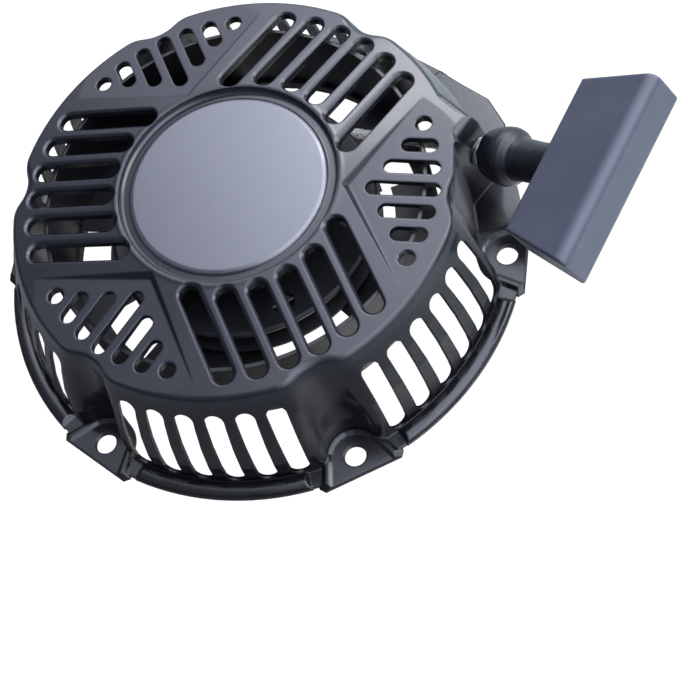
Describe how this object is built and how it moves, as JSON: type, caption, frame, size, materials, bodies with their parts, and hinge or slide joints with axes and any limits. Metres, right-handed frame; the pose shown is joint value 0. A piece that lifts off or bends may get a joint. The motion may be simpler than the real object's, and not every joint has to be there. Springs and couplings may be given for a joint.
{
  "type": "recoil starter",
  "caption": "Black pull-rope recoil starter for a small engine: vented round cover with mounting ears, rope pulley with ratchet pawls, and a T-grip on a short stem.",
  "frame": {"origin": "on the crank axis, in the plane of the mounting ears' engine side", "axes": "+Z out of the engine through the cover's middle; the rope leaves towards +X and -Y"},
  "size_m": [0.2709, 0.2192, 0.07],
  "materials": {
    "cover_paint": "gloss",
    "steel": "bright zinc",
    "dark_steel": "oiled",
    "spring_steel": "blued",
    "ferrule": "polished",
    "reel_plastic": "moulded",
    "bronze": "sintered",
    "grip_plastic": "satin",
    "cord": "braided"
  },
  "bodies": {
    "housing": {"housing": "cover_paint", "inner_case": "cover_paint", "air_guide": "cover_paint", "centre_post": "dark_steel", "spring_case": "dark_steel", "recoil_spring": "spring_steel", "rope_eyelet": "ferrule", "rope_run": "cord", "centre_washer": "steel", "centre_screw": "steel"},
    "pulley": {"pulley_reel": "reel_plastic", "pulley_bushing": "bronze", "rope_coil": "cord", "pawl_pin_a": "steel", "pawl_pin_b": "steel", "pawl_spring_a": "spring_steel", "pawl_spring_b": "spring_steel"},
    "guide": {"pawl_guide": "dark_steel", "friction_spring": "spring_steel"},
    "pawl_a": {"pawl_a": "steel"},
    "pawl_b": {"pawl_b": "steel"},
    "handle": {"handle_stem": "grip_plastic", "handle_grip": "grip_plastic", "handle_disc": "steel", "handle_knot": "cord", "rope_lead": "cord"}
  },
  "joints": [
    {"name": "pulley_spin", "type": "hinge", "parent": "housing", "child": "pulley", "pos_m": [0, 0, 0.025], "axis": [0, 0, -1], "range_deg": [0, 1000], "stiffness_Nm_per_rad": 0.02, "springref_deg": -458.37},
    {"name": "handle_pull", "type": "slide", "parent": "housing", "child": "handle", "axis": [0.4894, -0.7772, 0.3955], "range_m": [0, 0.716]},
    {"name": "guide_turn", "type": "hinge", "parent": "pulley", "child": "guide", "pos_m": [0, 0, 0.01], "axis": [0, 0, 1], "range_deg": [0, 28]},
    {"name": "pawl_a_swing", "type": "hinge", "parent": "pulley", "child": "pawl_a", "pos_m": [0, 0.028, 0.0125], "axis": [0, 0, 1], "range_deg": [0, 25], "stiffness_Nm_per_rad": 0.001},
    {"name": "pawl_b_swing", "type": "hinge", "parent": "pulley", "child": "pawl_b", "pos_m": [0, -0.028, 0.0125], "axis": [0, 0, 1], "range_deg": [0, 25], "stiffness_Nm_per_rad": 0.001}
  ],
  "couplings": [
    {"joint": "handle_pull", "follows": "pulley_spin", "m_per_rad": 0.041},
    {"joint": "pawl_a_swing", "follows": "guide_turn", "ratio": 0.89},
    {"joint": "pawl_b_swing", "follows": "guide_turn", "ratio": 0.89}
  ]
}
